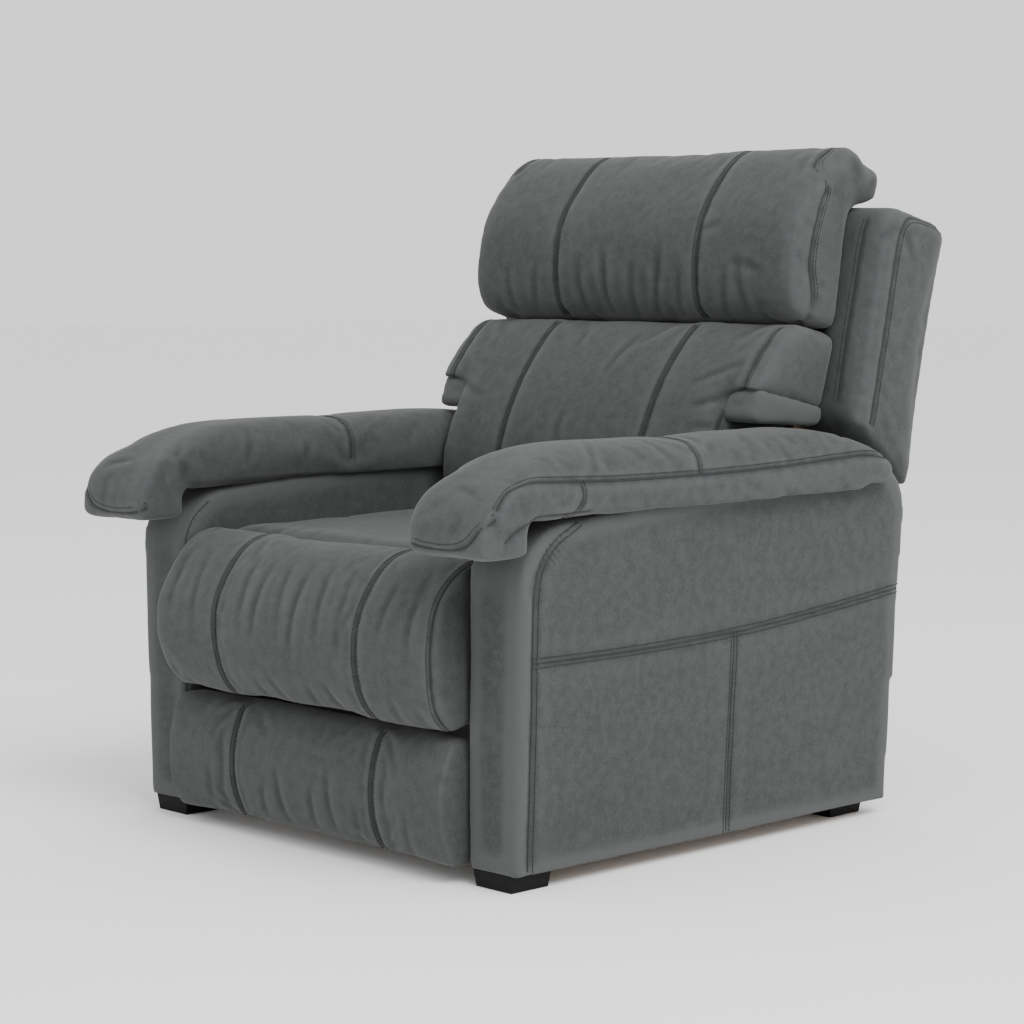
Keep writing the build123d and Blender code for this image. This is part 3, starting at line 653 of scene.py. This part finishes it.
class Finishes:
    """All materials of the chair."""

    def __init__(self, suede: Suede) -> None:
        self.wear = self._wear_group()
        self.fabric = self._fabric("suede", suede)
        # thread colour; the seam lines reuse it as painted shade in each seam's join
        self.thread = self._plain("thread", Plain((0.022, 0.023, 0.024), (0.015, 0.015, 0.016), 0.85))
        self.by_slot = {
            "upholstery": self.fabric,
            "plywood": self._plain(
                "birch_plywood", Plain((0.56, 0.40, 0.24), (0.40, 0.26, 0.14), 0.6, 0, 30, (1, 1, 14), 0.12)
            ),
            "timber": self._plain("pine", Plain((0.30, 0.21, 0.13), (0.20, 0.13, 0.08), 0.55, 0, 24, (1, 12, 12),
                0.12)),
            "foot_plastic": self._plain(
                "black_foot", Plain((0.005, 0.005, 0.0054), (0.003, 0.003, 0.0033), 0.62, 0, 300, specular=0.15)
            ),
            "handle_plastic": self._plain("black_handle", Plain((0.02, 0.02, 0.021), (0.014, 0.014, 0.015),
                0.38, 0, 400)),
            "cable_sheath": self._plain("cable_sheath", Plain((0.015, 0.015, 0.015), (0.01, 0.01, 0.01),
                0.5, 0, 200)),
            "spring_wire": self._plain("spring_wire", Plain((0.45, 0.45, 0.46), (0.30, 0.30, 0.31), 0.32, 1.0, 150)),
            "fasteners": self._plain("zinc", Plain((0.62, 0.62, 0.60), (0.48, 0.48, 0.46), 0.3, 1.0, 200)),
            "link_steel": self._plain("painted_steel", Plain((0.035, 0.036, 0.038), (0.022, 0.023, 0.024),
                0.4, 0.6, 120)),
        }

    def _wear_group(self) -> bpy.types.NodeTree:
        """A two-colour mottle with a fine grain, shared by every finish."""
        tree = bpy.data.node_groups.new("Mottle", "ShaderNodeTree")
        face = tree.interface
        for label, kind, value in (
            ("Vector", "NodeSocketVector", None), ("Light", "NodeSocketColor", None),
                ("Dark", "NodeSocketColor", None),
            ("Scale", "NodeSocketFloat", 20.0), ("Grain", "NodeSocketFloat", 600.0),
        ):
            socket = face.new_socket(label, in_out="INPUT", socket_type=kind)
            if value is not None:
                socket.default_value = value
        for label, kind in (("Color", "NodeSocketColor"), ("Height", "NodeSocketFloat")):
            face.new_socket(label, in_out="OUTPUT", socket_type=kind)
        new, link = tree.nodes.new, tree.links.new
        start, end = new("NodeGroupInput"), new("NodeGroupOutput")
        cloud, grain = new("ShaderNodeTexNoise"), new("ShaderNodeTexNoise")
        mix, add = new("ShaderNodeMix"), new("ShaderNodeMath")
        cloud.inputs["Detail"].default_value, cloud.inputs["Roughness"].default_value = 6.0, 0.62
        grain.inputs["Detail"].default_value = 3.0
        spread = new("ShaderNodeMapRange")
        spread.inputs["From Min"].default_value, spread.inputs["From Max"].default_value = 0.32, 0.68
        mix.data_type = "RGBA"
        add.operation = "MULTIPLY_ADD"
        add.inputs[1].default_value = 0.9
        for node, scale in ((cloud, "Scale"), (grain, "Grain")):
            link(start.outputs["Vector"], node.inputs["Vector"])
            link(start.outputs[scale], node.inputs["Scale"])
        link(grain.outputs["Fac"], add.inputs[0])
        link(cloud.outputs["Fac"], add.inputs[2])
        fine = new("ShaderNodeMath")
        fine.operation = "SUBTRACT"
        fine.inputs[1].default_value = 0.45
        link(add.outputs[0], fine.inputs[0])
        link(fine.outputs[0], spread.inputs["Value"])
        link(spread.outputs["Result"], mix.inputs["Factor"])
        link(start.outputs["Dark"], mix.inputs["A"])
        link(start.outputs["Light"], mix.inputs["B"])
        link(mix.outputs["Result"], end.inputs["Color"])
        link(grain.outputs["Fac"], end.inputs["Height"])
        return tree

    def _material(self, name: str) -> tuple[bpy.types.Material, bpy.types.NodeTree, bpy.types.Node]:
        """An empty material with its Principled shader."""
        material = bpy.data.materials.new(name)
        material.use_nodes = True
        tree = material.node_tree
        return material, tree, tree.nodes["Principled BSDF"]

    def _mottle(self, tree: bpy.types.NodeTree, finish: Plain) -> bpy.types.Node:
        """The mottle group set up on object coordinates."""
        place, mapping = tree.nodes.new("ShaderNodeTexCoord"), tree.nodes.new("ShaderNodeMapping")
        mapping.inputs["Scale"].default_value = finish.stretch
        group = tree.nodes.new("ShaderNodeGroup")
        group.node_tree = self.wear
        group.inputs["Light"].default_value = (*finish.light, 1)
        group.inputs["Dark"].default_value = (*finish.dark, 1)
        group.inputs["Scale"].default_value = finish.scale
        tree.links.new(place.outputs["Object"], mapping.inputs["Vector"])
        tree.links.new(mapping.outputs["Vector"], group.inputs["Vector"])
        return group

    def _plain(self, name: str, finish: Plain) -> bpy.types.Material:
        """Wood, plastic or metal."""
        material, tree, shader = self._material(name)
        group = self._mottle(tree, finish)
        bump = tree.nodes.new("ShaderNodeBump")
        bump.inputs["Strength"].default_value = finish.bump
        bump.inputs["Distance"].default_value = 0.001
        shader.inputs["Roughness"].default_value = finish.roughness
        shader.inputs["Metallic"].default_value = finish.metallic
        shader.inputs["Specular IOR Level"].default_value = finish.specular
        tree.links.new(group.outputs["Color"], shader.inputs["Base Color"])
        tree.links.new(group.outputs["Height"], bump.inputs["Height"])
        tree.links.new(bump.outputs["Normal"], shader.inputs["Normal"])
        return material

    def _fabric(self, name: str, suede: Suede) -> bpy.types.Material:
        """Brushed suede: mottled, with painted shade darkening creases and seams and a painted highlight lightening
        crests.
        """
        material, tree, shader = self._material(name)
        new, link = tree.nodes.new, tree.links.new
        low = tuple(0.82 * c for c in suede.base)
        high = tuple(1.18 * c for c in suede.base)
        group = self._mottle(tree, Plain(high, low, suede.roughness, scale=64.0))
        group.inputs["Grain"].default_value = 420.0
        colour = group.outputs["Color"]
        # painted highlight on crests, painted shade in creases, painted shade along seams
        for label, tint, lowest, highest, share in (
            ("crest", suede.crest, 0.5, 1.0, 0.75),
            ("crest", suede.crease, 0.5, 0.0, 0.75),
            ("seam", suede.crease, 0.3, 1.0, 0.5),
        ):
            read, span, mix = new("ShaderNodeAttribute"), new("ShaderNodeMapRange"), new("ShaderNodeMix")
            read.attribute_name = label
            span.inputs["From Min"].default_value, span.inputs["From Max"].default_value = lowest, highest
            span.inputs["To Max"].default_value = share
            mix.data_type = "RGBA"
            mix.inputs["B"].default_value = (*tint, 1)
            link(read.outputs["Fac"], span.inputs["Value"])
            link(span.outputs["Result"], mix.inputs["Factor"])
            link(colour, mix.inputs["A"])
            colour = mix.outputs["Result"]
        link(colour, shader.inputs["Base Color"])
        bump = new("ShaderNodeBump")
        bump.inputs["Strength"].default_value, bump.inputs["Distance"].default_value = 0.25, 0.0006
        link(group.outputs["Height"], bump.inputs["Height"])
        link(bump.outputs["Normal"], shader.inputs["Normal"])
        shader.inputs["Roughness"].default_value = suede.roughness
        shader.inputs["Sheen Weight"].default_value = suede.sheen
        shader.inputs["Sheen Roughness"].default_value = 0.5
        shader.inputs["Specular IOR Level"].default_value = 0.2
        return material

    def dress(self, nodes: dict[str, bpy.types.Object], slots: dict[str, str]) -> int:
        """Gives every CAD node that stays its finish.

        Args:
            nodes: the frame's node objects.
            slots: material slot of each node.

        Returns:
            The number of nodes dressed.
        """
        for name, node in nodes.items():
            for i in range(len(node.data.materials)):
                node.data.materials[i] = self.by_slot[slots[name]]
        return len(nodes)


def mirrored(path: tuple[Point, ...], side: Side) -> tuple[Point, ...]:
    """A path for the left side, carried to the side asked for."""
    return tuple((x * side.value, y, z) for x, y, z in path)


@dataclass
class BackCushions:
    """The head cushion, the lumbar cushion and the lumbar cushion's two side gussets."""

    panel_seam: float = 155.0
    boxing_seam: float = 324.0

    def pieces(self) -> list[SoftPiece]:
        """Both cushions, with the seams of their panels and side boxings."""
        head_front = ((258, 766), (239, 816), (231, 860), (239, 913), (278, 979), (348, 1034), (400, 1036))
        lumbar_front = ((98, 540), (104, 593), (124, 620), (143, 662), (172, 700), (238, 764))
        head_edge = ((285, 790), (278, 850), (285, 905), (312, 965), (350, 1012), (395, 1026))
        lumbar_edge = ((118, 560), (128, 610), (150, 660), (185, 715), (240, 758))
        head = [Seam(across(s * self.panel_seam, head_front)) for s in (1, -1)]
        head += [Seam(across(s * self.boxing_seam, head_edge), rows=(-7.0 * s, -12.0 * s)) for s in (1, -1)]
        lumbar = [Seam(across(s * self.panel_seam, lumbar_front)) for s in (1, -1)]
        lumbar += [Seam(across(s * self.boxing_seam, lumbar_edge), rows=(-7.0 * s,)) for s in (1, -1)]
        head_folds = [
            Fold(((x, 262, 768), (x + lean * 0.5, 240, 810), (x + lean, 231, 868 + rise)), depth)
            for x, lean, rise, depth in (
                (-92, -14, 0, 2.6), (-38, -8, 24, 3.2), (12, 6, 4, 2.4), (58, 20, 30, 3.0), (112, 10, -12, 2.2),
                (206, 12, -10, 2.0), (258, -18, 10, 2.2), (-214, 14, 0, 2.0), (-262, -8, -14, 1.8),
            )
        ]
        head_folds += [Fold(((300, 262, 840), (262, 240, 858), (225, 232, 862)), 2.0), Fold(((150, 245, 905),
            (205, 246, 925)), 1.6)]
        lumbar_folds = [
            Fold(((322, 150, 668), (280, 140, 655), (228, 130, 640)), 2.8),
            Fold(((318, 175, 715), (270, 165, 700), (215, 150, 672)), 2.2),
            Fold(((322, 132, 620), (285, 122, 612), (240, 118, 612)), 2.0),
            Fold(((-322, 150, 668), (-270, 140, 655), (-222, 130, 640)), 2.4),
            Fold(((60, 225, 752), (40, 190, 716), (30, 160, 682)), 2.0),
            Fold(((-70, 225, 752), (-62, 190, 716)), 1.8),
            Fold(((-20, 104, 560), (-30, 112, 602), (-20, 125, 628)), 2.0),
        ]
        return [
            SoftPiece("head_cushion", head, head_folds, voxel=6.5, inset=4.0, soften=70, unevenness=1.8, fill=0.7),
            *(
                Gusset(f"{side.name.lower()}_lumbar_gusset", soften=10, swell=False, unevenness=0.8, side=side)
                for side in Side
            ),
            SoftPiece("lumbar_cushion", lumbar, lumbar_folds, voxel=6.5, inset=4.0, soften=45, unevenness=1.6,
                fill=0.65),
        ]


@dataclass
class SeatGroup:
    """The seat cushion with the roll that covers its front."""

    panel_seam: float = 160.0
    end_seam: float = 303.0

    def pieces(self) -> list[SoftPiece]:
        """The seat cushion and the front roll."""
        profile = ((-342, 458), (-389, 450), (-442, 415), (-473, 361), (-480, 327), (-470, 262), (-430, 209))
        end = ((-345, 452), (-394, 440), (-432, 412), (-456, 370), (-464, 318), (-455, 255), (-428, 214))
        roll = [Seam(across(s * self.panel_seam, profile)) for s in (1, -1)]
        roll += [Seam(across(s * self.end_seam, end), depth=2.4, rows=(-6.0 * s,)) for s in (1, -1)]
        folds = [
            Fold(((x, -430, 428), (x + lean / 2, -466, 384), (x + lean, -480, 330 - drop)), depth)
            for x, lean, drop, depth in (
                (-104, 6, 10, 2.0), (-62, -8, 30, 2.4), (-22, 10, 0, 2.0), (24, -6, 44, 2.8), (66, 10, 16, 2.2),
                    (118, 4, 30, 1.9),
                (216, -10, 10, 1.8), (262, 12, 24, 2.0), (-222, 12, 22, 1.9), (-268, -6, 8, 1.6),
            )
        ]
        folds += [Fold(((x, -432, 212), (x + lean, -464, 262)), 1.8) for x, lean in ((-84, 12), (-30, -8),
            (36, 6), (96, -14), (220, 8))]
        seat_edges = [Seam(((s * 304, -300, 448), (s * 304, 70, 448)), depth=2.0, rows=(),
            pinned=False) for s in (1, -1)]
        return [
            SoftPiece("seat_front_roll", roll, folds, inset=4.0, soften=40, unevenness=1.6, fill=0.7),
            SoftPiece("seat_cushion", seat_edges, [], voxel=7.0, inset=4.0, soften=30, unevenness=1.8, fill=0.6),
        ]


@dataclass
class Footrest:
    """The padded board that swings out under the legs."""

    panel_seam: float = 158.0

    def pieces(self) -> list[SoftPiece]:
        """The footrest's pad."""
        profile = ((-423, 201), (-444, 161), (-447, 125), (-443, 70), (-421, 23))
        folds = [
            Fold(((x, -424, 28), (x + lean, -442, 66), (x + lean * 1.6, -446, 104 + rise)), depth)
            for x, lean, rise, depth in (
                (-96, 8, 0, 2.0), (-40, -8, 22, 2.6), (18, 6, 6, 2.2), (70, -4, 30, 2.4), (116, 6, -10, 1.8),
                    (228, 4, 4, 1.6), (-226, 8, 12, 1.8),
            )
        ]
        seams = [Seam(across(s * self.panel_seam, profile)) for s in (1, -1)]
        return [SoftPiece("footrest_pad", seams, folds, voxel=5.0, inset=3.0, soften=30, unevenness=1.0, fill=0.6)]


@dataclass
class Arm:
    """One arm: its padded box and the pillow on top."""

    side: Side

    def pieces(self) -> list[SoftPiece]:
        """The box cover and the arm pad, with their seams."""
        name = self.side.name.lower()
        s = self.side.value

        def seam(path: tuple[Point, ...], **options) -> Seam:
            rows = options.pop("rows", (-6.5, 6.5))
            return Seam(mirrored(path, self.side), rows=tuple(r * s for r in rows), **options)

        box = [
            seam(((428, -381, 317), (424, -180, 316), (424, 34, 322), (424, 220, 336), (424, 408, 355)),
                depth=1.6, width=4.0),
            seam(((424, 29, 322), (420, 26, 180), (415, 23, 28)), depth=1.6, width=4.0),
            seam(
                ((414, -381, 30), (420, -381, 200), (424, -381, 330), (428, -380, 415),
                 (428, -370, 452), (428, -345, 482), (428, -300, 506)),
                depth=2.6, width=5.0, rows=(-8.0,),
            ),
            seam(((321, -408, 28), (321, -408, 260), (321, -407, 412), (321, -392, 462), (321, -360, 490)),
                depth=1.8, width=3.5, rows=()),
        ]
        pad = [
            seam(
                ((452, -474, 535), (454, -441, 566), (452, -339, 564), (451, -259, 561),
                 (450, -84, 559), (450, 100, 562), (450, 276, 569), (448, 345, 563)),
                depth=2.6, rows=(7.0,),
            ),
            seam(
                ((449, -81, 559), (433, -81, 587), (404, -82, 607), (374, -82, 613), (340, -82, 606),
                    (312, -82, 580), (302, -82, 545)),
                depth=2.6,
            ),
            seam(((452, -318, 562), (456, -312, 545), (455, -322, 526), (450, -345, 512)), depth=1.8, rows=(6.0,)),
            seam(((452, -300, 520), (454, -370, 514), (454, -430, 508), (448, -462, 490)), depth=1.6, rows=()),
            seam(((446, -478, 520), (438, -500, 500), (420, -508, 484), (378, -508, 474), (330, -506, 478),
                (308, -490, 488)),
                 depth=2.4, rows=(-9.0,)),
        ]
        folds = [
            Fold(mirrored(path, self.side), depth)
            for path, depth in (
                (((430, -470, 530), (400, -470, 552), (360, -462, 560)), 2.0),
                (((446, -300, 560), (420, -280, 590), (392, -262, 604)), 1.8),
                (((446, -120, 562), (425, -150, 592), (404, -170, 602)), 1.6),
                (((446, 120, 564), (424, 100, 592)), 1.5),
                (((446, 250, 566), (420, 262, 588), (392, 270, 598)), 1.6),
                (((302, -300, 540), (312, -290, 572), (330, -286, 594)), 2.0),
                (((302, -180, 540), (314, -176, 576)), 1.8),
            )
        ]
        return [
            SoftPiece(f"{name}_arm_cover", box, [], inset=0.0, soften=5, swell=False, unevenness=0.9, fill=0.9),
            SoftPiece(f"{name}_arm_pad", pad, folds, inset=4.0, soften=40, unevenness=1.4, fill=0.75),
        ]


@dataclass
class BackShell:
    """The back's outer cover with its two side wings."""

    def pieces(self) -> list[SoftPiece]:
        """The two wings and the rear cover."""
        made = []
        for side in Side:
            s = side.value
            edge = tuple(
                on_back(414 * s, behind, up)
                for behind, up in ((141, 300), (141, 420), (141, 540), (143, 600), (158, 628), (190, 638), (250, 638))
            )
            inner = tuple(on_back(x * s, 107, up) for x, up in ((370, 330), (370, 450), (370, 560), (372, 612)))
            seams = [
                Seam(edge, depth=2.4, rows=(-8.0 * s,)),
                Seam(inner, depth=1.8, rows=(7.0 * s,), pinned=False),
            ]
            folds = [Fold((on_back(412 * s, 150, 610), on_back(412 * s, 185, 560)), 1.6)]
            made.append(SoftPiece(f"{side.name.lower()}_back_wing", seams, folds, inset=2.0, soften=24,
                unevenness=1.0, fill=0.8))
        rear = [Seam(tuple(on_back(s * 155, 264, up) for up in (0, 150, 300, 450, 600, 632)), depth=1.6,
            width=4.0) for s in (1, -1)]
        rear.append(Seam(tuple(on_back(x, 264, 300) for x in (-395, -200, 0, 200, 395)), depth=1.6, width=4.0))
        made.append(SoftPiece("back_cover", rear, [], inset=0.0, soften=3, swell=False, unevenness=0.8, fill=0.9))
        return made


@dataclass
class Studio:
    """Floor, lights and camera."""

    key_power: float = 250.0
    key_place: Point = (3.5, -0.9, 4.4)
    key_size: float = 3.0
    sky: float = 1.3
    camera_place: Point = (2.9667, -2.8812, 0.8531)
    camera_pitch: float = 84.712
    camera_turn: float = 46.15
    lens: float = 93.33
    sensor: float = 36.0
    floor_size: float = 60.0

    def build(self) -> None:
        """Makes the floor, the soft lights and the camera."""
        bpy.ops.mesh.primitive_plane_add(size=self.floor_size)
        floor = bpy.context.object
        floor.name = "floor"
        material = bpy.data.materials.new("pale_floor")
        material.use_nodes = True
        shader = material.node_tree.nodes["Principled BSDF"]
        shader.inputs["Base Color"].default_value = (0.96, 0.96, 0.96, 1)
        shader.inputs["Roughness"].default_value = 0.9
        shader.inputs["Specular IOR Level"].default_value = 0.0
        floor.data.materials.append(material)
        world = bpy.data.worlds.new("studio")
        bpy.context.scene.world = world
        world.use_nodes = True
        world.node_tree.nodes["Background"].inputs["Color"].default_value = (1, 1, 1, 1)
        world.node_tree.nodes["Background"].inputs["Strength"].default_value = self.sky
        self._light("key", self.key_place, self.key_size, self.key_power)
        data = bpy.data.cameras.new("camera")
        data.lens, data.sensor_width = self.lens, self.sensor
        camera = bpy.data.objects.new("camera", data)
        camera.location = self.camera_place
        camera.rotation_euler = (radians(self.camera_pitch), 0.0, radians(self.camera_turn))
        bpy.context.scene.collection.objects.link(camera)
        bpy.context.scene.camera = camera

    def _light(self, name: str, place: Point, size: float, power: float) -> None:
        """One square soft light that faces the chair."""
        data = bpy.data.lights.new(name, "AREA")
        data.size, data.energy = size, power
        light = bpy.data.objects.new(name, data)
        light.location = place
        light.rotation_euler = (Vector((0, 0, 0.5)) - Vector(place)).to_track_quat("-Z", "Y").to_euler()
        bpy.context.scene.collection.objects.link(light)


def slots_of(record: dict) -> dict[str, str]:
    """The material slot of each CAD node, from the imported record."""
    return {part["node"]: part["material_slot"] for part in record["subparts"]}


def main() -> None:
    """Builds the whole scene on the frame."""
    logging.basicConfig(level=logging.INFO)
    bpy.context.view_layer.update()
    finishes = Finishes(Suede())
    count = finishes.dress(frame["nodes"], slots_of(frame["record"]))
    log.info("%d frame nodes dressed", count)
    threads = Threads(finishes.thread)
    groups = [BackCushions(), SeatGroup(), Footrest(), Arm(Side.LEFT), Arm(Side.RIGHT), BackShell()]
    made = [soft.build(finishes.fabric, threads) for group in groups for soft in group.pieces()]
    log.info("%d soft pieces", len(made))
    Studio().build()


if __name__ == "__main__":
    main()
